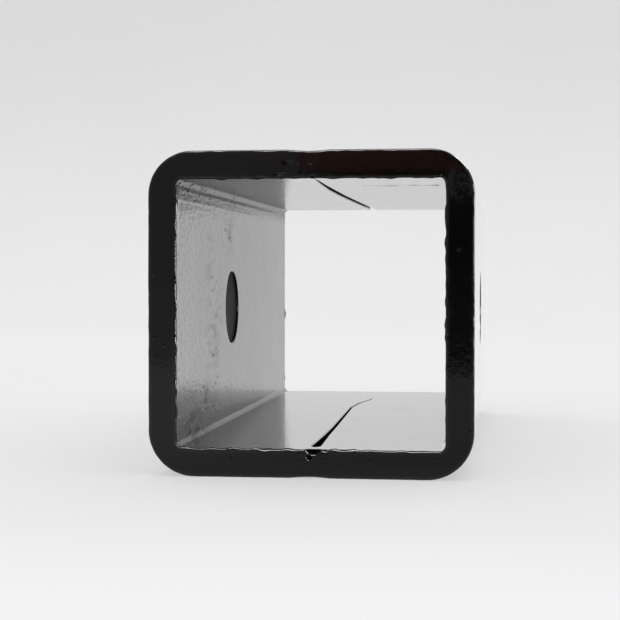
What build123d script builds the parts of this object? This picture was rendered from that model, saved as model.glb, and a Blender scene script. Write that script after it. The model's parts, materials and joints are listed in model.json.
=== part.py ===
from build123d import *
from math import radians, tan
import os

# Hitch receiver tube for a square shank: two formed steel channels, butted along the middle of the top and
# bottom walls and groove welded from outside, with one pin hole through both side walls.
# Millimetres. +Y runs along the tube from its mouth to its rear end, +Z is up, and the tube lies on one flat
# side, with the origin on the floor below its middle.

# Tube
shank_width = 50.8  # square shank that slides in
shank_clearance = 1.5  # play across the shank
wall = 5.6
tube_length = 152.4
outer_corner_radius = 8.4
inner_corner_radius = 1.2
end_edge_round = 0.6  # softened edges of both end faces

# Pin hole
pin_diameter = 15.875
pin_clearance = 0.625  # hole diameter over the pin
pin_setback = 63.5  # hole centre behind the mouth
pin_edge_round = 0.5

# Welded seams
groove_angle = 60.0  # included angle of the V
groove_depth = 3.3  # V, from the outside; the rest of the wall is the root face
upper_gap_mouth = 0.5  # root gap of the top seam at the mouth
upper_gap_rear = 1.0
upper_seal = 1.5  # length of the top gap that the weld closes right through the wall, at the mouth
lower_gap_mouth = 1.5  # the bottom seam gapes at the mouth
lower_gap_rear = 0.5
lower_gap_taper = 45.0  # where the bottom gap has narrowed to its rear width
lower_seal_mouth = 6.0  # lengths of the bottom gap that the weld closes, at the mouth and at the rear end
lower_seal_rear = 28.0
bite_width = 2.9  # bite out of the lower inner edge, where the bottom seam meets the mouth
bite_length = 3.0
dressing_width = 8.0  # band ground hollow over each seam
dressing_depth = 0.25

# Sizes that follow
inside_width = shank_width + shank_clearance
outside_width = inside_width + 2 * wall
mid_height = outside_width / 2
mouth_y = -tube_length / 2
rear_y = tube_length / 2
pin_y = mouth_y + pin_setback
pin_hole_radius = (pin_diameter + pin_clearance) / 2
overshoot = wall  # how far a cutting tool stands out of the tube


def formed_tube():
    outside = RectangleRounded(outside_width, outside_width, outer_corner_radius)
    inside = RectangleRounded(inside_width, inside_width, inner_corner_radius)
    section = Plane.XZ * Pos(0, mid_height) * (outside - inside)
    tube = extrude(section, tube_length / 2, both=True)
    along = tube.edges().group_by(Axis.Y)
    return fillet(along[0] + along[-1], end_edge_round)


def drill_pin_hole(tube):
    drill = Cylinder(pin_hole_radius, outside_width + 2 * overshoot)
    drilled = tube - Pos(0, pin_y, mid_height) * Rot(0, 90, 0) * drill
    pin_axis = Axis((0, pin_y, mid_height), (1, 0, 0))
    round_walls = drilled.faces().filter_by(GeomType.CYLINDER)
    hole_walls = round_walls.filter_by(lambda face: face.axis_of_rotation.is_coaxial(pin_axis))
    rims = hole_walls.edges().filter_by(GeomType.CIRCLE)
    return fillet(rims, pin_edge_round)


def upside_down(shape):
    return mirror(shape, about=Plane.XY.offset(mid_height))


def dress_seams(tube):
    # Grinding leaves a shallow hollow along the outside of both seams.
    hollow_radius = (dressing_width**2 / 4 + dressing_depth**2) / (2 * dressing_depth)
    wheel = Rot(90, 0, 0) * Cylinder(hollow_radius, tube_length + 2 * overshoot)
    wheel_above = Pos(0, 0, outside_width - dressing_depth + hollow_radius) * wheel
    return tube - wheel_above - upside_down(wheel_above)


def seam_groove(gap_stations):
    # Top seam: a V from the outside and a slot through the wall, whose width is given along the tube.
    root_z = outside_width - groove_depth
    outer_z = outside_width + overshoot
    half_mouth = (outer_z - root_z) * tan(radians(groove_angle / 2))
    vee = Polygon((0, root_z), (half_mouth, outer_z), (-half_mouth, outer_z), align=None)
    vee_prism = extrude(Plane.XZ * vee, tube_length / 2 + overshoot, both=True)
    (first_y, first_gap), (last_y, last_gap) = gap_stations[0], gap_stations[-1]
    stations = [(first_y - overshoot, first_gap), *gap_stations, (last_y + overshoot, last_gap)]
    right_side = [(gap / 2, y) for y, gap in stations]
    left_side = [(-gap / 2, y) for y, gap in reversed(stations)]
    slot_plan = Polygon(*right_side, *left_side, align=None)
    slot = extrude(Pos(0, 0, outside_width - wall - overshoot) * slot_plan, wall + 2 * overshoot)
    return vee_prism + slot


def weld_in(tube, groove, sealed_stretches):
    # The weld fills the V over the whole length, and the root gap too along its sealed stretches.
    vee_zone = Box(outside_width, tube_length, groove_depth, align=(Align.CENTER, Align.CENTER, Align.MAX))
    zone = Pos(0, 0, outside_width) * vee_zone
    for start, end in sealed_stretches:
        seal_zone = Box(outside_width, end - start, wall, align=(Align.CENTER, Align.MIN, Align.MAX))
        zone += Pos(0, start, outside_width) * seal_zone
    return tube & groove & zone


def mouth_bite():
    # A cone lying along the lower inner wall, widest at the mouth.
    reach = (bite_length + overshoot) / bite_length
    cone = Cone(bite_width / 2 * reach, 0, bite_length * reach, align=(Align.CENTER, Align.CENTER, Align.MIN))
    return Pos(0, mouth_y - overshoot, wall) * Rot(-90, 0, 0) * cone


def left_half(tube, cutters):
    side = Box(outside_width, tube_length, outside_width, align=(Align.MAX, Align.CENTER, Align.MIN))
    half = tube & side
    for cutter in cutters:
        half -= cutter
    return half


tube = dress_seams(drill_pin_hole(formed_tube()))
upper_groove = seam_groove([(mouth_y, upper_gap_mouth), (rear_y, upper_gap_rear)])
lower_groove = seam_groove(
    [(mouth_y, lower_gap_mouth), (mouth_y + lower_gap_taper, lower_gap_rear), (rear_y, lower_gap_rear)]
)
left_channel = left_half(tube, [upper_groove, upside_down(lower_groove), mouth_bite()])
top_weld = weld_in(tube, upper_groove, [(mouth_y, mouth_y + upper_seal)])
bottom_seals = [(mouth_y, mouth_y + lower_seal_mouth), (rear_y - lower_seal_rear, rear_y)]
nodes = {
    "left_channel": left_channel,
    "right_channel": mirror(left_channel, about=Plane.YZ),
    "top_seam_weld": top_weld,
    "bottom_seam_weld": upside_down(weld_in(tube, lower_groove, bottom_seals)) - mouth_bite(),
}

os.makedirs("parts", exist_ok=True)
for name, solid in nodes.items():
    export_step(solid, f"parts/{name}.step")
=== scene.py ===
import json
import math

import bmesh
import bpy
import numpy as np
from mathutils import Matrix, Vector, noise


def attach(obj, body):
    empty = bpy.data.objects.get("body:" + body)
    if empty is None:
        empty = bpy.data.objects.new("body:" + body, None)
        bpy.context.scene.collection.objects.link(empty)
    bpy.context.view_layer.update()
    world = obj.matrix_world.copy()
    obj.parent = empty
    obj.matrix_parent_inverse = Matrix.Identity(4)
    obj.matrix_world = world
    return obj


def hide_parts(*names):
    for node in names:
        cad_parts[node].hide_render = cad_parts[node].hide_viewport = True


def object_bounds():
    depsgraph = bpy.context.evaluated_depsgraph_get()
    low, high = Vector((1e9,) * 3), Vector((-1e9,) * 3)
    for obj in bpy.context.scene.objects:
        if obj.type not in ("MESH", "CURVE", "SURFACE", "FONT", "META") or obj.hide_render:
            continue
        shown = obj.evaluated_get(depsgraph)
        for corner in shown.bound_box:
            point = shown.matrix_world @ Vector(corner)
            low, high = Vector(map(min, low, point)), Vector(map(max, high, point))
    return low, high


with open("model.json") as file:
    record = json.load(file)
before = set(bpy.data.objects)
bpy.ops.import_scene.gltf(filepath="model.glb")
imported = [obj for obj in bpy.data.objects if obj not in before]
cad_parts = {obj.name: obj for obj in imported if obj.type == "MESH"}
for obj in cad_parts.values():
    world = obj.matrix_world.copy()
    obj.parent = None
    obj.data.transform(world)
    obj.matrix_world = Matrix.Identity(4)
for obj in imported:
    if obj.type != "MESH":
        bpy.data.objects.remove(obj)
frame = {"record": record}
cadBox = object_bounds()
mm = 0.001

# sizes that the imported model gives
lowCorner, highCorner = cadBox
mouthY, rearY = lowCorner.y, highCorner.y
tubeLength = rearY - mouthY
tubeTop = highCorner.z
midHeight = tubeTop / 2
halfWidth = highCorner.x
pinMount = next(mount for mount in frame["record"]["mounts"] if mount["name"] == "pin_hole")
pinY, pinZ = pinMount["pos_m"][1:]
pinRadius = pinMount["dims"]["r_mm"] * mm
print("frame loaded, tube size in mm:", [round(v / mm, 2) for v in highCorner - lowCorner])

tubeForm = {
    "wall": 5.6 * mm,
    "upperCorner": 8.7 * mm,       # outside bend radii
    "lowerCorner": 9.1 * mm,
    "innerCorner": 1.2 * mm,
    "outerRim": 0.34 * mm,         # rounding of the end edges under the paint
    "innerRim": 0.42 * mm,
    "rimChange": 0.6,              # how uneven that rounding is
    "rimLump": 1.7 * mm,
    "pinRim": 0.5 * mm,
    "pinPatch": 12.5 * mm,         # half side of the square patch round the hole
    "columnStep": 0.75 * mm,
    "rowStep": 1.15 * mm,
    "capRows": 27,
    "rimRows": 7,
    "creased": (0.004, 0.09, 0.003),   # share of the upright with finer columns: start, end, step
    "seamStep": 0.07 * mm,         # first column beside a seam
    "endStep": 0.35 * mm,          # first row behind an end
    "rimClear": 1.3 * mm,          # past the widest rounding
    "sharpAngle": math.radians(48),
    "stepGrowth": 1.2,
    "ridgeRows": (2.4 * mm, 17),   # finer rows round the ridge of paint: reach, number
    "pinRings": 14,                # rings of faces round the hole, and along its wall
    "pinWallRings": 8,
    "pinRingPull": 0.8,
    "leastEdge": 0.2e-6,
}
innerReach = halfWidth - tubeForm["wall"]

seamForm = {
    "weldHalf": 1.79 * mm,         # half width of the weld on the outside
    "weldColumns": 19,
    "grooveDepth": 3.3 * mm,
    "hollowHalf": 4.0 * mm,        # band ground hollow over each seam
    "hollowDepth": 0.25 * mm,
    "lip": 0.28 * mm,              # rounding of the gap's inner edges
    "lipFull": 0.4 * mm,           # gap width from which that rounding is full
    "rootLeast": 0.04 * mm,
    "ripple": 0.05 * mm,           # what grinding left of the weld's ripples
    "ripplePitch": 2.4 * mm,
    "ripplePatch": 9 * mm,
    "rippleBow": 0.8 * mm,
    "rootLump": 0.15 * mm,
    "rootLumpSize": 2.5 * mm,
}

# along each seam: millimetres behind the mouth, sideways drift, open width
upperGap = [(0, 0.5, 0.0), (1.0, 0.55, 0.06), (6, 0.6, 0.3), (22, 0.0, 0.7), (45, -0.6, 1.3),
            (70, -0.9, 1.45), (110, -0.8, 1.5), (152.4, -0.5, 1.6)]
lowerGap = [(0, 0.75, 0.0), (5.0, 0.55, 0.0), (5.7, 0.5, 1.3), (7, 0.45, 1.85), (14, 0.38, 1.5),
            (30, 0.1, 0.95), (46, -0.15, 0.75), (98, -1.5, 0.5), (110, -0.7, 0.45), (122, 1.1, 0.35),
            (130, 1.4, 0.0), (152.4, 1.4, 0.0)]

# bites out of the inner edge at the mouth, in millimetres: x, half width, depth, length
lowerBites = [(0.75, 1.5, 0.8, 0.55), (3.4, 0.8, 0.25, 0.9), (-9.0, 0.9, 0.2, 0.9)]
upperBites = [(0.5, 0.6, 0.4, 1.5)]

# dents in the mouth's end face, in millimetres: x, z, half width, half height, depth
faceDents = [(-0.1, 4.05, 0.8, 0.5, 0.9), (-3.9, 60.9, 0.5, 0.5, 0.3),
             (-5.6, 58.7, 0.4, 0.4, 0.3), (0.1, 60.4, 0.4, 0.4, 0.2)]

paintForm = {
    "wave": 0.05 * mm,             # slow waves of the painted surface, cut inward only
    "waveSize": 13 * mm,
    "ripple": 0.012 * mm,
    "rippleSize": 3.2 * mm,
    "levelCalm": 0.7,              # how much less of both on the walls above and below
    "seamCalm": (2 * mm, 6 * mm),  # none this near a seam, where weld and channel meet
    "bead": 0.34 * mm,             # paint gathered along the mouth's inner edge
    "beadSize": 2.2 * mm,
    "beadReach": 1.3 * mm,
    "beadClear": (1.6 * mm, 3.2 * mm),   # no beads this near the notch
    "notchX": 0.75 * mm,
    "ridgeDepth": 27 * mm,         # ridge of paint across the top wall inside
    "ridgeHeight": 0.24 * mm,
    "ridgeWidth": 1.0 * mm,
    "ridgeWander": 1.3 * mm,
    "ridgeTurn": 3.5 * mm,
    "ridgeBreak": 2.2 * mm,
    "ridgeSide": (2 * mm, 18 * mm),      # it grows towards the right
    "roll": 0.05 * mm,             # how far the end faces fall away at their edges
    "rollReach": 0.5 * mm,
    "endFade": (0.3 * mm, 2 * mm),       # how far behind an end its dents and roll reach
}

# beads of paint on the mouth's lower inner edge: x, half width, height, all in millimetres
mouthBeads = [(4.8, 0.7, 0.35), (11.5, 1.0, 0.2)]

# creases along the left wall inside, near its upper bend, in millimetres: height, size, width
bendCreases = [(56.1, 0.045, 0.38), (54.2, 0.035, 0.40)]

# wrinkled paint on the mouth's end face, in millimetres: x, z, half width, half height
faceWrinkles = [(28.9, 56.8, 1.9, 3.6)]

# runs of paint on the left wall's rear edge: height above the floor, size, both in millimetres
rearRuns = [(27.9, 0.45), (9.5, 0.25)]

# zones of dull spots on the left wall inside, in millimetres: depth, height, half length, half height
spotZones = [(40, 27, 10, 13), (36, 43, 6, 6), (28, 12, 12, 6), (18, 8, 10, 4), (58, 49, 9, 5)]

insideForm = {
    "dullStart": 3.5 * mm,         # the level walls are dull left of this at the mouth
    "dullSoft": (-2.5 * mm, 1.0 * mm),
    "dullLow": (14 * mm, 20 * mm),       # heights of the dull parts of the left wall
    "dullLowDrop": 0.08,
    "dullHigh": (53 * mm, 57 * mm),
    "coatFade": 45 * mm,           # shares of clear coat: far inside, and added at the mouth
    "coatLeft": (0.29, 0.62),
    "coatBottom": (0.65, 0.35),
    "coatTop": (0.0, 0.30),
    "dullLossLeft": 0.8,           # how much of it the dull parts lose
    "dullLossBottom": 0.6,
    "dullLossTop": 1.0,
    "peelFade": 65 * mm,           # orange peel: how it fades inward and away from the bends
    "peelBend": 10 * mm,
    "peelAway": 0.4,
    "peelLevel": 0.25,
    "peelDullLoss": 0.55,
}

# where one part of the surface passes into the next
skinForm = {
    "insideFade": (0.05 * mm, 0.6 * mm),
    "wallFade": (0.3 * mm, 0.9 * mm),
    "bendClear": 1 * mm,
    "flatClear": 2 * mm,
    "endFaceFade": (0.5 * mm, 1.5 * mm),
    "edgeReach": 0.9 * mm,
    "boreReach": 1 * mm,
    "gapHalf": 2.6 * mm,
    "gapInner": (0.1 * mm, 0.5 * mm),
    "gapOuter": (0.8 * mm, 2.4 * mm),
    "gapEnd": (0.8 * mm, 2 * mm),
    "dressed": (3.0 * mm, 4.6 * mm),
    "dressedWander": 0.5 * mm,
    "dressedTurn": 2 * mm,
    "wrinkleFade": (0.1 * mm, 0.6 * mm),
}


def smoothStep(low, high, value):
    t = np.clip((value - low) / (high - low), 0, 1)
    return t * t * (3 - 2 * t)


def lumps(points, size, seed):
    flat = np.asarray(points, float).reshape(-1, 3) / size + np.array((seed, -seed, 2 * seed))
    return np.array([noise.noise(p) for p in flat]).reshape(np.shape(points)[:-1])


def gradedSteps(length, first, step):
    marks, gap = [0.0], first
    while marks[-1] < length:
        marks.append(marks[-1] + gap)
        gap = min(gap * tubeForm["stepGrowth"], step)
    return np.array(marks) / marks[-1]


def gapAt(stations, y):
    behind, drifts, widths = zip(*stations)
    depth = (y - mouthY) / mm
    return np.interp(depth, behind, drifts) * mm, np.interp(depth, behind, widths) * mm


def hollowAt(offset):
    # depth of the ground band at a distance from the seam's middle
    half, depth = seamForm["hollowHalf"], seamForm["hollowDepth"]
    radius = (half**2 + depth**2) / (2 * depth)
    drop = radius - np.sqrt(radius**2 - np.minimum(np.abs(offset), half) ** 2)
    return np.maximum(depth - drop, 0)


def bendPoints(s, upper, reach, level, radius):
    # a quarter bend, s from 0 to 1, and the directions that it faces
    angle = np.radians(90 - 90 * s if upper else -90 * s)
    across, up = np.cos(angle), np.sin(angle)
    middle = level - radius if upper else level + radius
    return reach - radius + radius * across, middle + radius * up, across, up


class ChannelSection:
    # the C-shaped section of one channel, column by column from the top seam to the bottom seam
    def __init__(self, side):
        self.side = side
        step = tubeForm["columnStep"]
        flat = gradedSteps(halfWidth - tubeForm["upperCorner"], tubeForm["seamStep"], step)
        bend = np.linspace(0, 1, int(tubeForm["lowerCorner"] * math.pi / 2 / step) + 5)
        upright = np.linspace(0, 1, int((tubeTop - 2 * tubeForm["lowerCorner"]) / step) + 2)[1:-1]
        start, end, fineStep = tubeForm["creased"]
        creased = np.arange(start, end, fineStep)            # finer columns where the creases lie
        upright = np.concatenate([creased, upright[upright > end + 0.005]])
        self.stretches = [("topFlat", flat[:-1]), ("topBend", bend), ("upright", upright),
                          ("bottomBend", bend), ("bottomFlat", flat[::-1][1:])]

    def outer(self, y):
        upper, lower = tubeForm["upperCorner"], tubeForm["lowerCorner"]
        toe = seamForm["weldHalf"]
        made = []
        for name, s in self.stretches:
            isTop = name.startswith("top")
            corner = upper if isTop else lower
            if name.endswith("Flat"):
                h = toe + s * (halfWidth - corner - toe)
                z = tubeTop - hollowAt(h) if isTop else hollowAt(h)
                made.append((h, z, 0 * s, 0 * s + (1 if isTop else -1)))
            elif name == "upright":
                z = tubeTop - upper - s * (tubeTop - upper - lower)
                made.append((0 * s + halfWidth, z, 0 * s + 1, 0 * s))
            else:
                made.append(bendPoints(s, isTop, halfWidth, tubeTop if isTop else 0, corner))
        return [np.concatenate(values) for values in zip(*made)]

    def inner(self, y):
        wall, corner = tubeForm["wall"], tubeForm["innerCorner"]
        made = []
        for name, s in self.stretches:
            isTop = name.startswith("top")
            level = tubeTop - wall if isTop else wall
            if name.endswith("Flat"):
                drift, width = gapAt(upperGap if isTop else lowerGap, y)
                edge = width / 2 + self.side * drift
                h = edge + s * (innerReach - corner - edge)
                lip = seamForm["lip"] * min(width / seamForm["lipFull"], 1)
                sink = lip - np.sqrt(lip**2 - np.clip(lip - (h - edge), 0, lip) ** 2)
                sink = sink + self.bitten(upperBites if isTop else lowerBites, h, y)
                away = 1 if isTop else -1
                made.append((h, level + away * sink, 0 * s, 0 * s - away))
            elif name == "upright":
                z = tubeTop - wall - corner - s * (tubeTop - 2 * wall - 2 * corner)
                made.append((0 * s + innerReach, z, 0 * s - 1, 0 * s))
            else:
                h, z, across, up = bendPoints(s, isTop, innerReach, level, corner)
                made.append((h, z, -across, -up))
        return [np.concatenate(values) for values in zip(*made)]

    def bitten(self, bites, h, y):
        sink = 0 * h
        for x, half, depth, length in bites:
            bowl = np.maximum(1 - ((self.side * h / mm - x) / half) ** 2, 0) ** 0.7
            sink = np.maximum(sink, bowl * depth * mm * (1 - smoothStep(0, length, (y - mouthY) / mm)))
        return sink


def roundedRows(row, rim, seed):
    # rows of points along the tube, with both ends rounded unevenly: row(y, inset) gives one row
    angle = np.linspace(0, math.pi / 2, tubeForm["rimRows"])
    ends = []
    for endY, sign in ((mouthY, 1), (rearY, -1)):
        radius = rim * (1 + tubeForm["rimChange"] * lumps(row(endY, 0), tubeForm["rimLump"], seed))
        rounded = []
        for a in angle:
            points = row(endY, radius * (1 - math.sin(a)))
            points[:, 1] = endY + sign * radius * (1 - math.cos(a))
            rounded.append(points)
        ends.append(rounded)
    clear = tubeForm["rimClear"]
    graded = gradedSteps(1, tubeForm["endStep"] / tubeLength, tubeForm["rowStep"] / tubeLength)
    plain = clear + graded * (tubeLength - 2 * clear)
    reach, count = tubeForm["ridgeRows"]
    nearRidge = paintForm["ridgeDepth"] + np.linspace(-reach, reach, count)
    places = np.unique(np.round(np.concatenate([plain, nearRidge]), 6))
    return np.array(ends[0] + [row(mouthY + place, 0) for place in places] + ends[1][::-1])


def channelRows(section, outline, rim, seed):
    def row(y, inset):
        h, z, across, up = outline(y)
        return np.stack([section.side * (h - across * inset), np.full_like(h, y), z - up * inset], 1)

    return roundedRows(row, rim, seed)


class MeshBuild:
    def __init__(self):
        self.points, self.quads = [], []

    def add(self, points):
        first = len(self.points)
        points = np.asarray(points, float)
        self.points.extend(points.reshape(-1, 3))
        return np.arange(first, len(self.points)).reshape(points.shape[:-1])

    def grid(self, ids, skip=None):
        for i in range(ids.shape[0] - 1):
            for j in range(ids.shape[1] - 1):
                if skip is None or not skip[i, j]:
                    self.quads.append((ids[i, j], ids[i, j + 1], ids[i + 1, j + 1], ids[i + 1, j]))

    def ring(self, first, second):
        for k in range(len(first)):
            n = (k + 1) % len(first)
            self.quads.append((first[k], first[n], second[n], second[k]))

    def finish(self, name):
        mesh = bpy.data.meshes.new(name)
        quads = [tuple(int(v) for v in quad) for quad in self.quads]
        mesh.from_pydata([tuple(point) for point in self.points], [], quads)
        bm = bmesh.new()
        bm.from_mesh(mesh)
        bmesh.ops.dissolve_degenerate(bm, dist=tubeForm["leastEdge"], edges=bm.edges)
        bmesh.ops.recalc_face_normals(bm, faces=bm.faces)
        bm.to_mesh(mesh)
        bm.free()
        return mesh


def closedShell(build, outer, inner, sidePath, withPinHole=False):
    # outer and inner rows, joined by the end faces and by the two long edges at the seams
    across = np.linspace(0, 1, tubeForm["capRows"])
    outerIds, innerIds = build.add(outer), build.add(inner)
    ends = []
    for at in (0, -1):
        cap = np.array([outer[at] + t * (inner[at] - outer[at]) for t in across])
        for column in (0, -1):
            cap[:, column] = sidePath(outer[at][column], inner[at][column], across, column)
        ids = np.vstack([outerIds[at][None], build.add(cap[1:-1]), innerIds[at][None]])
        build.grid(ids)
        ends.append(ids)
    for column in (0, -1):
        pairs = zip(outer[1:-1, column], inner[1:-1, column])
        between = build.add(np.array([sidePath(o, i, across, column)[1:-1] for o, i in pairs]))
        rows = np.hstack([outerIds[1:-1, column][:, None], between, innerIds[1:-1, column][:, None]])
        build.grid(np.vstack([ends[0][:, column][None], rows, ends[1][:, column][None]]))
    skip = pinHolePatch(build, outer, inner, outerIds, innerIds) if withPinHole else None
    build.grid(outerIds, skip)
    build.grid(innerIds, skip)


def pinHolePatch(build, outer, inner, outerIds, innerIds):
    # opens both grids round the pin hole and fills them up to its rounded rims and its wall
    reach, rim = tubeForm["pinPatch"], tubeForm["pinRim"]
    middleRow, middleColumn = outer.shape[0] // 2, outer.shape[1] // 2
    ys, zs = outer[:, middleColumn, 1], outer[middleRow, :, 2]
    upright = np.abs(outer[middleRow, :, 0]) > halfWidth - 1e-6
    i0, i1 = [int(np.argmin(np.abs(ys - y))) for y in (pinY - reach, pinY + reach)]
    j0, j1 = [int(np.argmin(np.where(upright, np.abs(zs - z), 1))) for z in (pinZ + reach, pinZ - reach)]
    loop = ([(i0, j) for j in range(j0, j1)] + [(i, j1) for i in range(i0, i1)]
            + [(i1, j) for j in range(j1, j0, -1)] + [(i, j0) for i in range(i1, i0, -1)])
    rows, columns = np.array(loop).T
    edge = outer[rows, columns]
    angle = np.arctan2(edge[:, 2] - pinZ, edge[:, 1] - pinY)

    def circle(radius, x):
        return np.stack([0 * angle + x, pinY + radius * np.cos(angle), pinZ + radius * np.sin(angle)], 1)

    lastRings = []
    for points, ids, outward in ((outer, outerIds, 1), (inner, innerIds, -1)):
        border = points[rows, columns]
        x = border[0, 0]
        inwardX = -outward * math.copysign(1, x)
        previous = ids[rows, columns]
        for t in np.linspace(0, 1, tubeForm["pinRings"])[1:]:
            pull = t ** tubeForm["pinRingPull"]
            current = build.add(border + (circle(pinRadius + rim, x) - border) * pull)
            build.ring(previous, current)
            previous = current
        for a in np.linspace(0, math.pi / 2, tubeForm["rimRows"])[1:]:
            ring = circle(pinRadius + rim * (1 - math.sin(a)), x + inwardX * rim * (1 - math.cos(a)))
            current = build.add(ring)
            build.ring(previous, current)
            previous = current
        lastRings.append((previous, x + inwardX * rim))
    (previous, startX), (last, endX) = lastRings
    for t in np.linspace(0, 1, tubeForm["pinWallRings"])[1:-1]:
        current = build.add(circle(pinRadius, startX + t * (endX - startX)))
        build.ring(previous, current)
        previous = current
    build.ring(previous, last)
    skip = np.zeros((outer.shape[0] - 1, outer.shape[1] - 1), bool)
    skip[i0:i1, j0:j1] = True
    return skip


def groovedEdge(outerPoint, innerPoint, across, column):
    # down the V face to the root, then straight to the inner edge
    rootZ = tubeTop - seamForm["grooveDepth"] if column == 0 else seamForm["grooveDepth"]
    root = np.array((innerPoint[0], (outerPoint[1] + innerPoint[1]) / 2, rootZ))
    first = outerPoint + np.clip(across * 2, 0, 1)[:, None] * (root - outerPoint)
    return first + np.clip(across * 2 - 1, 0, 1)[:, None] * (innerPoint - root)


def straightEdge(outerPoint, innerPoint, across, column):
    return outerPoint + across[:, None] * (innerPoint - outerPoint)


def squareDistance(points, half, corner):
    # distance from a rounded square about the tube's axis, negative inside it
    dx = np.abs(points[:, 0]) - half + corner
    dz = np.abs(points[:, 2] - midHeight) - half + corner
    return np.hypot(np.maximum(dx, 0), np.maximum(dz, 0)) + np.minimum(np.maximum(dx, dz), 0) - corner


class PaintedSkin:
    # the points of one piece, and how far they lie from the tube's walls, ends and edges
    def __init__(self, mesh):
        count = len(mesh.vertices)
        points, normals = np.empty(count * 3), np.empty(count * 3)
        mesh.vertices.foreach_get("co", points)
        mesh.vertex_normals.foreach_get("vector", normals)
        self.points, self.normals = points.reshape(-1, 3), normals.reshape(-1, 3)
        x, y, z = self.points.T
        self.depth = y - mouthY
        self.toEnd = np.minimum(self.depth, rearY - y)
        self.outerGap = np.abs(squareDistance(self.points, halfWidth, tubeForm["upperCorner"]))
        self.innerGap = squareDistance(self.points, innerReach, tubeForm["innerCorner"])
        self.faceEdge = np.minimum(self.outerGap, np.abs(self.innerGap))
        holeGap = np.abs(np.hypot(y - pinY, z - pinZ) - pinRadius)
        sideGap = np.minimum(np.abs(np.abs(x) - halfWidth), np.abs(np.abs(x) - innerReach))
        self.toEdge = np.minimum(np.hypot(self.toEnd, self.faceEdge), np.hypot(holeGap, sideGap))
        self.inside = 1 - smoothStep(*skinForm["insideFade"], self.innerGap)
        self.inWall = smoothStep(*skinForm["wallFade"], np.minimum(self.outerGap, self.innerGap))
        self.level = np.abs(x) < innerReach - skinForm["bendClear"]
        self.flat = np.abs(x) < innerReach - skinForm["flatClear"]
        self.onLeft = x < -innerReach + skinForm["bendClear"]
        self.isLow = z < midHeight


def wavesCut(skin):
    # how far the waves of the paint cut in
    cut = paintForm["wave"] * (0.5 + 0.5 * lumps(skin.points, paintForm["waveSize"], 1.3))
    cut += paintForm["ripple"] * (0.5 + 0.5 * lumps(skin.points, paintForm["rippleSize"], 5.9))
    cut *= 1 - paintForm["levelCalm"] * skin.inside * skin.level
    nearSeam = 1 - smoothStep(*paintForm["seamCalm"], np.abs(skin.points[:, 0]))
    return cut * (1 - skin.inWall * nearSeam)


def paintRaised(skin):
    # how far beads, the ridge, creases and runs stand up inside
    x, y, z = skin.points.T
    atMouth = np.exp(-(skin.depth / paintForm["beadReach"]) ** 2)
    beads = smoothStep(-0.1, 0.7, lumps(skin.points, paintForm["beadSize"], 9.4))
    raised = paintForm["bead"] * beads * atMouth
    raised *= smoothStep(*paintForm["beadClear"], np.abs(x - paintForm["notchX"]))
    for beadX, half, height in mouthBeads:
        bead = height * mm * np.exp(-((x / mm - beadX) / half) ** 2)
        raised += bead * atMouth * (skin.flat & skin.isLow)
    wander = lumps(skin.points * (1, 0, 0), paintForm["ridgeTurn"], 2.2)
    ridgeLine = paintForm["ridgeDepth"] + paintForm["ridgeWander"] * wander
    ridge = np.exp(-((skin.depth - ridgeLine) / paintForm["ridgeWidth"]) ** 2)
    ridge *= smoothStep(*paintForm["ridgeSide"], x)
    ridge *= 0.45 + 0.9 * lumps(skin.points, paintForm["ridgeBreak"], 4.6)
    raised += paintForm["ridgeHeight"] * ridge * (skin.flat & ~skin.isLow)
    for height, size, width in bendCreases:
        raised += skin.onLeft * size * mm * np.exp(-((z / mm - height) / width) ** 2)
    for height, size in rearRuns:
        away = np.hypot(rearY - y, z - height * mm) / (size * 2 * mm)
        raised += skin.onLeft * size * mm * np.exp(-away**2)
    return raised * skin.inside


def moveByPaint(skin):
    raised, cut = paintRaised(skin), wavesCut(skin)
    skin.points += skin.normals * raised[:, None] * (1, 0, 1) - skin.normals * cut[:, None]
    x, y, z = skin.points.T
    for dentX, dentZ, halfAcross, halfUp, sunk in faceDents:
        away = np.hypot((x / mm - dentX) / halfAcross, (z / mm - dentZ) / halfUp)
        bowl = np.maximum(1 - away, 0) * (1 - smoothStep(*paintForm["endFade"], skin.depth))
        y += sunk * mm * bowl * (1 - skin.inside)
    fall = paintForm["roll"] * np.exp(-skin.faceEdge / paintForm["rollReach"])
    y += fall * (1 - smoothStep(*paintForm["endFade"], skin.toEnd)) * np.where(y < 0, 1, -1)
    np.clip(y, mouthY, rearY, out=y)


def insideFinish(skin):
    # inside: how dull each point is, its share of clear coat and of orange peel
    form = insideForm
    x, z = skin.points[:, 0], skin.points[:, 2]
    dullLine = -form["dullStart"] - skin.depth * (innerReach - form["dullStart"]) / tubeLength
    dull = 1 - smoothStep(*form["dullSoft"], x - dullLine)
    lowSide = 1 - smoothStep(*form["dullLow"], z + form["dullLowDrop"] * skin.depth)
    dull = np.where(skin.onLeft, np.maximum(lowSide, smoothStep(*form["dullHigh"], z)), dull)

    nearMouth = np.exp(-skin.depth / form["coatFade"])
    coatLeft, coatBottom, coatTop = [far + near * nearMouth for far, near in
                                     (form["coatLeft"], form["coatBottom"], form["coatTop"])]
    coat = np.where(skin.onLeft, coatLeft, np.where(skin.isLow, coatBottom, coatTop))
    levelLoss = np.where(skin.isLow, form["dullLossBottom"], form["dullLossTop"])
    coat *= 1 - dull * np.where(skin.onLeft, form["dullLossLeft"], levelLoss)

    wall = tubeForm["wall"]
    toBend = np.minimum(np.abs(z - tubeTop + wall), np.abs(z - wall))
    nearBend = form["peelAway"] + (1 - form["peelAway"]) * np.exp(-toBend / form["peelBend"])
    peeled = skin.inside * np.exp(-skin.depth / form["peelFade"]) * nearBend
    peeled *= np.where(skin.level, form["peelLevel"], 1 - form["peelDullLoss"] * dull * skin.isLow)
    return dull, coat, peeled


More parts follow.
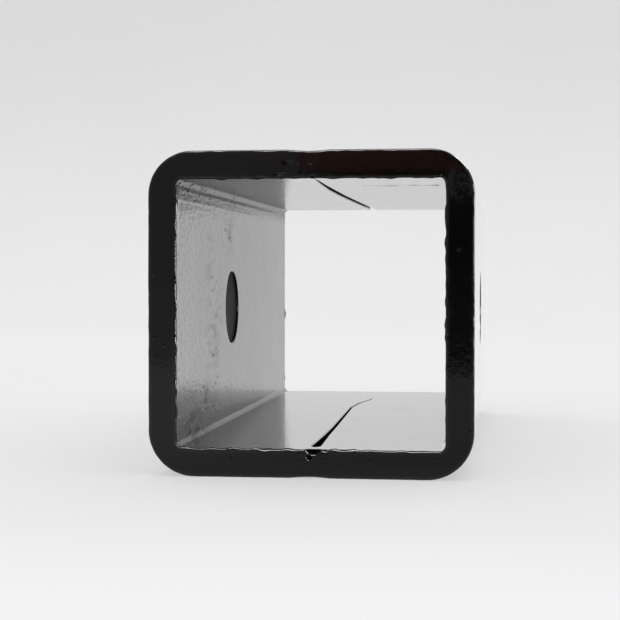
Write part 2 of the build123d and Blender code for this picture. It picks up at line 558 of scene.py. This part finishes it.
def paintMarks(skin):
    # what the materials read: a value at each point for each mark
    x, y, z = skin.points.T
    spotted, wrinkled = np.zeros(len(x)), np.zeros(len(x))
    for behind, height, halfLength, halfHeight in spotZones:
        spread = np.hypot((skin.depth / mm - behind) / halfLength, (z / mm - height) / halfHeight)
        spotted = np.maximum(spotted, np.exp(-spread**2) * skin.onLeft * skin.inside)
    for middleX, middleZ, halfAcross, halfUp in faceWrinkles:
        away = np.hypot((x / mm - middleX) / halfAcross, (z / mm - middleZ) / halfUp)
        wrinkled = np.maximum(wrinkled, np.exp(-away**4))
    wander = skinForm["dressedWander"] * lumps(skin.points, skinForm["dressedTurn"], 6.1)
    overSeam = 1 - smoothStep(*skinForm["dressed"], np.abs(x) + wander)
    inGap = smoothStep(*skinForm["gapInner"], skin.innerGap)
    inGap = inGap * smoothStep(*skinForm["gapOuter"], skin.outerGap)
    inGap *= (np.abs(x) < skinForm["gapHalf"]) * smoothStep(*skinForm["gapEnd"], skin.toEnd)
    dull, coat, peeled = insideFinish(skin)
    return {
        "endFace": skin.inWall * (1 - smoothStep(*skinForm["endFaceFade"], skin.toEnd)),
        "pinBore": skin.inWall * (np.hypot(y - pinY, z - pinZ) < pinRadius + skinForm["boreReach"]),
        "openRoot": inGap,
        "dullInside": dull * skin.inside,
        "edgeNear": np.exp(-(skin.toEdge / skinForm["edgeReach"]) ** 2),
        "insideWall": skin.inside,
        "innerCoat": coat,
        "peeled": peeled,
        "pitted": peeled**2,
        "spotted": spotted,
        "dressedBand": overSeam * (1 - smoothStep(*skinForm["wallFade"], skin.outerGap)),
        "wrinkled": wrinkled * (1 - smoothStep(*skinForm["wrinkleFade"], skin.depth)),
    }


def paintOver(mesh):
    # moves the surface as paint does, and marks it for the materials
    skin = PaintedSkin(mesh)
    moveByPaint(skin)
    mesh.vertices.foreach_set("co", skin.points.ravel())
    for name, values in paintMarks(skin).items():
        mesh.attributes.new(name, "FLOAT", "POINT").data.foreach_set("value", values)
    mesh.shade_smooth()
    mesh.set_sharp_from_angle(angle=tubeForm["sharpAngle"])
    mesh.update()


def placePiece(mesh, node, material):
    piece = bpy.data.objects.new(mesh.name, mesh)
    bpy.context.scene.collection.objects.link(piece)
    mesh.materials.append(material)
    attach(piece, "root")
    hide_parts(node)
    print(piece.name, "made,", sum(len(face.vertices) - 2 for face in mesh.polygons), "triangles")
    return piece


def makeChannel(node, side, material):
    section = ChannelSection(side)
    outer = channelRows(section, section.outer, tubeForm["outerRim"], 3.1)
    inner = channelRows(section, section.inner, tubeForm["innerRim"], 7.7)
    build = MeshBuild()
    closedShell(build, outer, inner, groovedEdge, withPinHole=True)
    mesh = build.finish(node + "_painted")
    paintOver(mesh)
    return placePiece(mesh, node, material)


def makeWeld(node, isTop, material):
    stations = upperGap if isTop else lowerGap
    s = np.linspace(-1, 1, seamForm["weldColumns"])
    x = s * seamForm["weldHalf"]

    def turned(z):
        return z if isTop else tubeTop - z

    def face(y, inset):
        spots = np.stack([x, np.full_like(x, y), 0 * x], 1)
        phase = 2 * math.pi * (y + seamForm["rippleBow"] * s**2) / seamForm["ripplePitch"]
        patches = smoothStep(-0.2, 0.5, lumps(spots, seamForm["ripplePatch"], 8.2))
        left = seamForm["ripple"] * (0.5 + 0.5 * np.sin(phase)) * patches
        z = tubeTop - hollowAt(x) - left * (1 - s**4) - inset
        return np.stack([x, np.full_like(x, y), turned(z)], 1)

    def root(points):
        drift, width = gapAt(stations, points[:, 1])
        half = np.maximum(width, seamForm["rootLeast"]) / 2
        lump = lumps(points, seamForm["rootLumpSize"], 3.7)
        depth = seamForm["grooveDepth"] + seamForm["rootLump"] * lump
        return np.stack([drift + s * half, points[:, 1], turned(tubeTop - depth)], 1)

    outer = roundedRows(face, tubeForm["outerRim"], 3.1)
    inner = np.array([root(points) for points in outer])
    build = MeshBuild()
    closedShell(build, outer, inner, straightEdge)
    mesh = build.finish(node + "_dressed")
    paintOver(mesh)
    return placePiece(mesh, node, material)


def addNode(tree, kind, inputs=None, **settings):
    node = tree.nodes.new("ShaderNode" + kind)
    for name, value in settings.items():
        setattr(node, name, value)
    for name, value in (inputs or {}).items():
        connect(tree, value, node.inputs[name])
    return node


def connect(tree, value, socket):
    if isinstance(value, bpy.types.NodeSocket):
        tree.links.new(value, socket)
    else:
        socket.default_value = value


def calc(tree, operation, *values, clamp=False):
    node = addNode(tree, "Math", operation=operation, use_clamp=clamp)
    for value, socket in zip(values, node.inputs):
        connect(tree, value, socket)
    return node.outputs[0]


def remap(tree, value, low, high, toLow=0.0, toHigh=1.0):
    limits = {"Value": value, "From Min": low, "From Max": high, "To Min": toLow, "To Max": toHigh}
    return addNode(tree, "MapRange", limits, interpolation_type="SMOOTHSTEP").outputs["Result"]


def mixColor(tree, share, first, second):
    node = addNode(tree, "Mix", data_type="RGBA")
    connect(tree, share, node.inputs["Factor"])
    for value, name in ((first, "A"), (second, "B")):
        socket = next(s for s in node.inputs if s.name == name and s.type == "RGBA")
        connect(tree, value, socket)
    return next(s for s in node.outputs if s.type == "RGBA")


def noiseValue(tree, position, size, detail=2.0):
    scale = calc(tree, "DIVIDE", 1.0, size) if isinstance(size, bpy.types.NodeSocket) else 1 / size
    return addNode(tree, "TexNoise", {"Vector": position, "Scale": scale, "Detail": detail}).outputs["Fac"]


def newGroup(name, inputs, outputs):
    tree = bpy.data.node_groups.new(name, "ShaderNodeTree")
    for label, kind, value in inputs:
        socket = tree.interface.new_socket(label, in_out="INPUT", socket_type="NodeSocket" + kind)
        if value is not None:
            socket.default_value = value
    for label in outputs:
        tree.interface.new_socket(label, in_out="OUTPUT", socket_type="NodeSocketFloat")
    return tree, tree.nodes.new("NodeGroupInput").outputs, tree.nodes.new("NodeGroupOutput").inputs


def orangePeelGroup():
    # the pebbled skin of sprayed paint
    tree, given, result = newGroup("orangePeel", [
        ("Position", "Vector", None), ("Peel Size", "Float", 0.0012), ("Wave Size", "Float", 0.006),
        ("Wave Share", "Float", 0.5)], ["Height", "Pits"])
    peel = noiseValue(tree, given["Position"], given["Peel Size"], 1.5)
    wave = noiseValue(tree, given["Position"], given["Wave Size"], 1.0)
    mixed = calc(tree, "ADD", peel, calc(tree, "MULTIPLY", wave, given["Wave Share"]))
    connect(tree, mixed, result["Height"])
    connect(tree, remap(tree, peel, 0.53, 0.66), result["Pits"])
    return tree


def paintSpecksGroup():
    # dust nibs and small pits, in a share of the cells
    tree, given, result = newGroup("paintSpecks", [
        ("Position", "Vector", None), ("Cell Size", "Float", 0.002), ("Share", "Float", 0.3),
        ("Radius", "Float", 0.25)], ["Mask"])
    cells = addNode(tree, "TexVoronoi", {"Vector": given["Position"],
                                         "Scale": calc(tree, "DIVIDE", 1.0, given["Cell Size"])})
    chosen = addNode(tree, "SeparateColor", {"Color": cells.outputs["Color"]})
    present = calc(tree, "LESS_THAN", chosen.outputs["Red"], given["Share"])
    radius = calc(tree, "MULTIPLY", given["Radius"], calc(tree, "ADD", chosen.outputs["Green"], 0.4))
    dome = remap(tree, cells.outputs["Distance"], radius, 0.0)
    connect(tree, calc(tree, "MULTIPLY", dome, present), result["Mask"])
    return tree


def edgeWearGroup():
    # thin and rubbed paint along an edge, broken up by noise
    tree, given, result = newGroup("edgeWear", [
        ("Position", "Vector", None), ("Edge", "Float", 0.0), ("Patch Size", "Float", 0.003),
        ("Amount", "Float", 0.5)], ["Mask"])
    patches = noiseValue(tree, given["Position"], given["Patch Size"], 4.0)
    rubbed = calc(tree, "MULTIPLY", given["Edge"], remap(tree, patches, 0.45, 0.7))
    connect(tree, calc(tree, "MULTIPLY", rubbed, given["Amount"], clamp=True), result["Mask"])
    return tree


def scuffsGroup():
    # fine scratches that run along one stretched direction
    tree, given, result = newGroup("scuffs", [
        ("Position", "Vector", None), ("Stretch", "Vector", (1, 1, 1)), ("Size", "Float", 0.004),
        ("Amount", "Float", 0.5)], ["Mask"])
    pulled = addNode(tree, "VectorMath", {0: given["Position"], 1: given["Stretch"]}, operation="MULTIPLY")
    lines = noiseValue(tree, pulled.outputs["Vector"], given["Size"], 3.0)
    places = noiseValue(tree, given["Position"], 0.02, 1.0)
    thin = remap(tree, calc(tree, "ABSOLUTE", calc(tree, "SUBTRACT", lines, 0.5)), 0.012, 0.0)
    kept = calc(tree, "MULTIPLY", thin, remap(tree, places, 0.5, 0.68))
    connect(tree, calc(tree, "MULTIPLY", kept, given["Amount"], clamp=True), result["Mask"])
    return tree


def grindMarksGroup():
    # cross lines that a grinding disc left, under the paint
    tree, given, result = newGroup("grindMarks", [
        ("Position", "Vector", None), ("Band", "Float", 0.0), ("Line Size", "Float", 0.0008)], ["Height"])
    pulled = addNode(tree, "VectorMath", {0: given["Position"], 1: (0.12, 1.0, 0.12)}, operation="MULTIPLY")
    lines = noiseValue(tree, pulled.outputs["Vector"], given["Line Size"], 3.0)
    connect(tree, calc(tree, "MULTIPLY", lines, given["Band"]), result["Height"])
    return tree


def settledDustGroup():
    # a thin film of dust on what faces up
    tree, given, result = newGroup("settledDust", [
        ("Position", "Vector", None), ("Facing", "Vector", (0, 0, 1)), ("Amount", "Float", 0.3)], ["Mask"])
    up = addNode(tree, "SeparateXYZ", {"Vector": given["Facing"]}).outputs["Z"]
    drift = remap(tree, noiseValue(tree, given["Position"], 0.012, 4.0), 0.4, 0.75)
    film = calc(tree, "MULTIPLY", remap(tree, up, 0.55, 0.95), drift)
    connect(tree, calc(tree, "MULTIPLY", film, given["Amount"], clamp=True), result["Mask"])
    return tree


groups = {group.name: group for group in (orangePeelGroup(), paintSpecksGroup(), edgeWearGroup(),
                                          scuffsGroup(), grindMarksGroup(), settledDustGroup())}
print("shader groups made:", ", ".join(groups))


def useGroup(tree, name, inputs):
    node = addNode(tree, "Group", node_tree=groups[name])
    for label, value in inputs.items():
        connect(tree, value, node.inputs[label])
    return node.outputs


def mark(tree, name):
    return addNode(tree, "Attribute", attribute_name=name, attribute_type="GEOMETRY").outputs["Fac"]


def bumpOn(tree, height, distance, before=None):
    inputs = {"Height": height, "Distance": distance, "Strength": 1.0}
    if before is not None:
        inputs["Normal"] = before
    return addNode(tree, "Bump", inputs).outputs["Normal"]


blackPaint = {
    "color": (0.0028, 0.0028, 0.0030, 1),
    "colorWarm": (0.0048, 0.0040, 0.0037, 1),   # thinner coats show warmer
    "dustColor": (0.030, 0.029, 0.027, 1),
    "ior": 1.34,
    "coatIor": 1.27,
    "coatRoughness": 0.04,
    "gloss": 0.09,                              # roughness where the paint lies smooth
    "satin": 0.20,
    "coatOutside": 1.0,
    "coatOnEnds": 0.1,
    "boreColor": (0.11, 0.11, 0.11, 1),      # dry overspray in the pin hole
    "peelBump": 0.012 * mm,
    "peelAtMouth": 0.20 * mm,
    "wrinkleBump": 0.12 * mm,
    "speckBump": 0.07 * mm,
    "grindBump": 0.03 * mm,
    "toneSize": 18 * mm,
    "toneFade": (0.35, 0.7),
    "roughFade": (0.3, 0.75),
    "insideEven": 0.75,                         # how much more even the gloss is inside
    "endGloss": 0.5,                            # how much smoother the end faces are
    "stretch": (1.0, 0.25, 1.0),                # peel, spots and scuffs are drawn out along the tube
    "peel": {"Peel Size": 0.75 * mm, "Wave Size": 6 * mm, "Wave Share": 0.4},
    "spots": {"Cell Size": 1.3 * mm, "Share": 0.5, "Radius": 0.62},
    "cloudSize": 2.4 * mm,                      # fainter blotches between the spots
    "cloudFade": (0.44, 0.66),
    "cloudShare": (0.05, 0.45),
    "specks": {"Cell Size": 2.2 * mm, "Share": 0.25, "Radius": 0.28},
    "wear": {"Patch Size": 2.5 * mm, "Amount": 0.6},
    "scuffs": {"Size": 5 * mm, "Amount": 0.8},
    "grindLine": 0.9 * mm,
    "dust": 0.35,
    # roughness that each mark adds
    "roughBy": {"worn": 0.40, "scuffed": 0.15, "dust": 0.25, "pits": 0.34, "band": 0.06, "bare": 0.3,
                "dull": 0.15},
}


def makePaint(name, values):
    material = bpy.data.materials.new(name)
    material.use_nodes = True
    tree = material.node_tree
    shader = tree.nodes["Principled BSDF"]
    position = addNode(tree, "TexCoord").outputs["Object"]
    facing = addNode(tree, "NewGeometry").outputs["Normal"]
    edge, inside, peeled = mark(tree, "edgeNear"), mark(tree, "insideWall"), mark(tree, "peeled")
    band, pitted = mark(tree, "dressedBand"), mark(tree, "pitted")
    endFace, bore, dull = mark(tree, "endFace"), mark(tree, "pinBore"), mark(tree, "dullInside")
    wrinkle = mark(tree, "wrinkled")
    stretched = addNode(tree, "VectorMath", {0: position, 1: values["stretch"]}, operation="MULTIPLY")
    pulled = stretched.outputs["Vector"]

    skin = useGroup(tree, "orangePeel", {"Position": pulled, **values["peel"]})
    peel, pits = skin["Height"], calc(tree, "MULTIPLY", skin["Pits"], pitted)
    spots = useGroup(tree, "paintSpecks", {"Position": pulled, **values["spots"]})["Mask"]
    blotches = noiseValue(tree, pulled, values["cloudSize"], 3.0)
    clouds = remap(tree, blotches, *values["cloudFade"], *values["cloudShare"])
    spots = calc(tree, "MAXIMUM", spots, clouds)
    pits = calc(tree, "MAXIMUM", pits, calc(tree, "MULTIPLY", mark(tree, "spotted"), spots))
    bare = calc(tree, "MAXIMUM", mark(tree, "openRoot"), bore)
    specks = useGroup(tree, "paintSpecks", {"Position": position, **values["specks"]})["Mask"]
    worn = useGroup(tree, "edgeWear", {"Position": position, "Edge": edge, **values["wear"]})["Mask"]
    scuffed = useGroup(tree, "scuffs", {"Position": position, "Stretch": values["stretch"],
                                        **values["scuffs"]})["Mask"]
    ground = useGroup(tree, "grindMarks", {"Position": position, "Band": band,
                                           "Line Size": values["grindLine"]})["Height"]
    dust = useGroup(tree, "settledDust", {"Position": position, "Facing": facing,
                                          "Amount": values["dust"]})["Mask"]
    dust = calc(tree, "MULTIPLY", dust, calc(tree, "SUBTRACT", 1.0, inside))

    slow = noiseValue(tree, position, values["toneSize"], 3.0)
    color = mixColor(tree, remap(tree, slow, *values["toneFade"]), values["color"], values["colorWarm"])
    color = mixColor(tree, worn, color, values["colorWarm"])
    color = mixColor(tree, dust, color, values["dustColor"])
    color = mixColor(tree, bore, color, values["boreColor"])
    connect(tree, color, shader.inputs["Base Color"])

    spread = calc(tree, "SUBTRACT", 1.0, calc(tree, "MULTIPLY", inside, values["insideEven"]))
    rough = calc(tree, "MULTIPLY", slow, spread)
    rough = remap(tree, rough, *values["roughFade"], values["gloss"], values["satin"])
    marks = {"worn": worn, "scuffed": scuffed, "dust": dust, "pits": pits, "band": band, "bare": bare,
             "dull": dull}
    for name, amount in marks.items():
        rough = calc(tree, "ADD", rough, calc(tree, "MULTIPLY", amount, values["roughBy"][name]))
    smoother = calc(tree, "MULTIPLY", endFace, values["endGloss"])
    rough = calc(tree, "MULTIPLY", rough, calc(tree, "SUBTRACT", 1.0, smoother))
    connect(tree, rough, shader.inputs["Roughness"])

    within = {"Factor": inside, "A": values["coatOutside"], "B": mark(tree, "innerCoat")}
    coat = addNode(tree, "Mix", within).outputs["Result"]
    coat = calc(tree, "MULTIPLY", coat, calc(tree, "SUBTRACT", 1.0, calc(tree, "MAXIMUM", bare, pits)))
    onEnds = {"Factor": endFace, "A": coat, "B": values["coatOnEnds"]}
    coat = addNode(tree, "Mix", onEnds).outputs["Result"]
    connect(tree, coat, shader.inputs["Coat Weight"])

    normal = bumpOn(tree, peel, values["peelBump"])
    normal = bumpOn(tree, calc(tree, "MULTIPLY", peel, peeled), values["peelAtMouth"], normal)
    normal = bumpOn(tree, specks, values["speckBump"], normal)
    normal = bumpOn(tree, calc(tree, "MULTIPLY", wrinkle, peel), values["wrinkleBump"], normal)
    normal = bumpOn(tree, ground, values["grindBump"], normal)
    connect(tree, normal, shader.inputs["Normal"])

    shader.inputs["IOR"].default_value = values["ior"]
    shader.inputs["Coat IOR"].default_value = values["coatIor"]
    shader.inputs["Coat Roughness"].default_value = values["coatRoughness"]
    return material


weldPaint = dict(blackPaint, satin=0.30, gloss=0.16, grindBump=0.05 * mm)

channelPaint = makePaint("blackPaint", blackPaint)
weldFinish = makePaint("dressedWeldPaint", weldPaint)
print("paint materials made")

makeChannel("left_channel", -1, channelPaint)
makeChannel("right_channel", 1, channelPaint)
makeWeld("top_seam_weld", True, weldFinish)
makeWeld("bottom_seam_weld", False, weldFinish)

sweepForm = {
    "halfWidth": 1.8,
    "front": -2.0,
    "back": 0.75,                   # where the floor starts to curve up
    "curve": 0.55,
    "top": 2.0,
    "color": (0.83, 0.83, 0.84, 1),
    "colorOther": (0.85, 0.85, 0.855, 1),
    "tableEnd": -0.44,              # nearer than this reflections see the floor painted dark, as painted shade for the unlit half of the room
    "unlit": (0.02, 0.02, 0.02, 1),
    "unlitLeft": (0.54, 0.54, 0.57, 1),
    "tableSoft": 0.04,
    "leftEdge": (-0.06, -0.09),     # where that painted-shade half passes into its left tone
    "dimRight": 0.32,               # painted shade: how much less reflections get of the floor's right half in front
    "dimAcross": (-0.05, 0.02),
    "dimAhead": (-0.08, -0.11),
    "mottle": 0.15,
    "roughness": 0.7,
    # painted light: glowing tones that the camera and reflections get, darker higher up: low, higher and at
    # the top
    "shownLow": (0.85, 0.85, 0.855, 1),
    "shownHigh": (0.72, 0.72, 0.725, 1),
    "shownTop": (0.30, 0.30, 0.31, 1),
    "fade": (0.02, 0.30),           # heights between the first two tones
    "fadeTop": (0.40, 1.20),
    "shownNear": (0.96, 0.96, 0.965, 1),
    "near": (-0.12, -0.20),         # painted light: the floor glows paler towards the camera
    "shownShare": 0.56,
}


def sweepBoard(form):
    material = bpy.data.materials.new("sweepBoard")
    material.use_nodes = True
    tree = material.node_tree
    shader = tree.nodes["Principled BSDF"]
    place = addNode(tree, "TexCoord").outputs["Object"]
    mottle = noiseValue(tree, place, form["mottle"], 3.0)
    color = mixColor(tree, remap(tree, mottle, 0.3, 0.7), form["color"], form["colorOther"])
    split = addNode(tree, "SeparateXYZ", {"Vector": place}).outputs
    rays = addNode(tree, "LightPath").outputs
    end, soft = form["tableEnd"], form["tableSoft"]
    # painted shade: glossy rays alone see the floor dark nearer than tableEnd, and dimmer on its right half
    # in front
    beyond = remap(tree, split["Y"], end + soft, end - soft)
    dimX, dimY = remap(tree, split["X"], *form["dimAcross"]), remap(tree, split["Y"], *form["dimAhead"])
    dim = calc(tree, "MULTIPLY", dimX, dimY)
    dark = calc(tree, "MAXIMUM", beyond, calc(tree, "MULTIPLY", dim, form["dimRight"]))
    dark = calc(tree, "MULTIPLY", rays["Is Glossy Ray"], dark)
    unlit = mixColor(tree, remap(tree, split["X"], *form["leftEdge"]), form["unlit"], form["unlitLeft"])
    connect(tree, mixColor(tree, dark, color, unlit), shader.inputs["Base Color"])
    shader.inputs["Roughness"].default_value = form["roughness"]
    shader.inputs["Specular IOR Level"].default_value = 0.0
    # painted light: camera and glossy rays get a glow, darker higher up and paler near the camera, mixed
    # over the lit floor
    shown = mixColor(tree, remap(tree, split["Z"], *form["fade"]), form["shownLow"], form["shownHigh"])
    shown = mixColor(tree, remap(tree, split["Z"], *form["fadeTop"]), shown, form["shownTop"])
    shown = mixColor(tree, remap(tree, split["Y"], *form["near"]), shown, form["shownNear"])
    glow = addNode(tree, "Emission", {"Color": mixColor(tree, dark, shown, unlit), "Strength": 1.0})
    seen = calc(tree, "MAXIMUM", rays["Is Camera Ray"], rays["Is Glossy Ray"])
    blend = addNode(tree, "MixShader", {"Fac": calc(tree, "MULTIPLY", seen, form["shownShare"])})
    tree.links.new(shader.outputs["BSDF"], blend.inputs[1])
    tree.links.new(glow.outputs["Emission"], blend.inputs[2])
    tree.links.new(blend.outputs["Shader"], tree.nodes["Material Output"].inputs["Surface"])
    return material


def makeSweep(form):
    back, curve = form["back"], form["curve"]
    profile = [(form["front"], 0.0), (-0.5, 0.0), (0.0, 0.0)]
    for a in np.radians(np.linspace(0, 90, 25)):
        profile.append((back + curve * math.sin(a), curve * (1 - math.cos(a))))
    profile.append((back + curve, form["top"]))
    across = np.linspace(-1, 1, 9) * form["halfWidth"]
    build = MeshBuild()
    build.grid(build.add([[(x, y, z) for x in across] for y, z in profile]))
    mesh = build.finish("whiteSweep")
    mesh.shade_smooth()
    mesh.materials.append(sweepBoard(form))
    sweep = bpy.data.objects.new("whiteSweep", mesh)
    bpy.context.scene.collection.objects.link(sweep)


makeSweep(sweepForm)
print("sweep made")

roomLight = {
    "pale": (0.90, 0.90, 0.91, 1),
    "greySide": (0.43, 0.43, 0.46, 1),      # front left of the room
    "darkSide": (0.02, 0.02, 0.02, 1),      # front right, beside the camera
    "warmPart": (0.40, 0.13, 0.09, 1),      # brown furniture above the dark part
    "seen": (0.80, 0.80, 0.81, 1),          # background where the sweep ends
    "lampSize": 1.4,
    "lampPower": 6.0,
    "lampPlace": (-0.05, 0.42, 1.2),
    # lamps for glints on edges alone: place, size, power
    "kickers": [((-0.10, -0.85, 0.95), 0.45, 15), ((0.62, -0.10, 0.72), 0.42, 30),
                ((0.95, -0.30, 0.14), 0.30, 10)],
    # directions between which one tone passes into the next
    "frontFade": (-0.45, -0.8),
    "darkFade": (-0.150, -0.122),
    "warmFade": (0.045, 0.062),
    "warmEnd": (-0.015, -0.045),
    "greyAgain": (0.04, 0.12),
}


def hangLamp(name, place, size, power):
    lamp = bpy.data.lights.new(name, "AREA")
    lamp.shape = "SQUARE"
    lamp.size = size
    lamp.energy = power
    hung = bpy.data.objects.new(name, lamp)
    hung.location = place
    aim = Vector((0, 0, midHeight)) - Vector(place)
    hung.rotation_euler = aim.to_track_quat("-Z", "Y").to_euler()
    bpy.context.scene.collection.objects.link(hung)
    return hung


def makeRoom(values):
    world = bpy.data.worlds.new("studio")
    bpy.context.scene.world = world
    world.use_nodes = True
    tree = world.node_tree
    back = tree.nodes["Background"]
    direction = addNode(tree, "TexCoord").outputs["Generated"]
    toward = addNode(tree, "SeparateXYZ", {"Vector": direction}).outputs
    front = remap(tree, toward["Y"], *values["frontFade"])
    right = remap(tree, toward["X"], *values["darkFade"])
    above = remap(tree, toward["Z"], *values["warmFade"])
    warm = calc(tree, "MULTIPLY", above, remap(tree, toward["X"], *values["warmEnd"]))
    rightTone = mixColor(tree, warm, values["darkSide"], values["warmPart"])
    ahead = mixColor(tree, right, values["greySide"], rightTone)
    ahead = mixColor(tree, remap(tree, toward["X"], *values["greyAgain"]), ahead, values["greySide"])
    light = mixColor(tree, front, values["pale"], ahead)
    isCamera = addNode(tree, "LightPath").outputs["Is Camera Ray"]
    connect(tree, mixColor(tree, isCamera, light, values["seen"]), back.inputs["Color"])
    back.inputs["Strength"].default_value = 1.0

    hangLamp("overheadSoftbox", values["lampPlace"], values["lampSize"], values["lampPower"])
    for number, (place, size, power) in enumerate(values["kickers"]):
        kicker = hangLamp(f"edgeKicker{number + 1}", place, size, power)
        kicker.visible_diffuse = False


makeRoom(roomLight)

viewpoint = {
    "place": (0.0378, -0.3776, 0.03955),
    "yaw": -7.122,                  # degrees, positive to the right
    "pitch": -1.315,
    "roll": -0.047,
    "lens": 91.61,
    "sensor": 36.0,
}


def makeCamera(values):
    yaw, pitch, roll = [math.radians(values[name]) for name in ("yaw", "pitch", "roll")]
    ahead = Vector((math.sin(yaw) * math.cos(pitch), math.cos(yaw) * math.cos(pitch), math.sin(pitch)))
    level = Vector((math.cos(yaw), -math.sin(yaw), 0))
    right = Matrix.Rotation(roll, 3, ahead) @ level
    up = right.cross(ahead)
    data = bpy.data.cameras.new("photoCamera")
    data.lens, data.sensor_width, data.clip_start = values["lens"], values["sensor"], 0.01
    camera = bpy.data.objects.new("photoCamera", data)
    turn = Matrix((right, up, -ahead)).transposed().to_4x4()
    camera.matrix_world = Matrix.Translation(values["place"]) @ turn
    bpy.context.scene.collection.objects.link(camera)
    bpy.context.scene.camera = camera


makeCamera(viewpoint)
bpy.context.scene.view_settings.view_transform = "Standard"
print("camera, lamp and room set")
